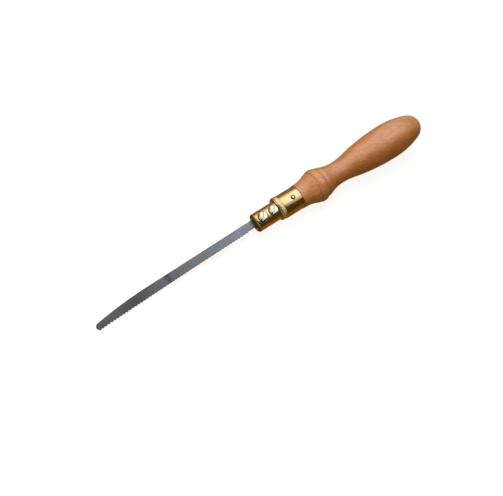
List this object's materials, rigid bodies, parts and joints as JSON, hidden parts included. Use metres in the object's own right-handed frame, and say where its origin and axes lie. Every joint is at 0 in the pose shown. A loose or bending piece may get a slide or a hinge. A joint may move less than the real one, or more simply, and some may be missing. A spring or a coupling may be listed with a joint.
{
  "type": "keyhole saw",
  "caption": "Keyhole saw with a turned wooden handle, a brass ferrule and screw chuck, and a narrow toothed blade that slides back into the handle.",
  "frame": {"origin": "on the tool's axis, where the ferrule's front end meets the chuck's collar", "axes": "+X along the tool towards the butt of the handle, +Z towards the screw heads, -Y towards the teeth"},
  "size_m": [0.2864, 0.0282, 0.0282],
  "materials": {
    "wood": "waxed hardwood",
    "brass": "turned and worn",
    "screw_brass": "pale and worn",
    "blade_steel": "ground"
  },
  "bodies": {
    "handle": {"handle": "wood", "ferrule": "brass", "ferrule_pin": "brass", "chuck": "brass"},
    "blade": {"blade": "blade_steel"},
    "front_screw": {"front_screw": "screw_brass"},
    "rear_screw": {"rear_screw": "screw_brass"}
  },
  "joints": [
    {"name": "blade_slide", "type": "slide", "parent": "handle", "child": "blade", "axis": [0.9999, 0.014, 0], "range_m": [0, 0.06]},
    {"name": "front_screw_turn", "type": "hinge", "parent": "handle", "child": "front_screw", "pos_m": [-0.0168, 0, 0.006], "axis": [0, 0, 1], "range_deg": [0, 720]},
    {"name": "rear_screw_turn", "type": "hinge", "parent": "handle", "child": "rear_screw", "pos_m": [-0.0076, 0, 0.006], "axis": [0, 0, 1], "range_deg": [0, 720]}
  ]
}
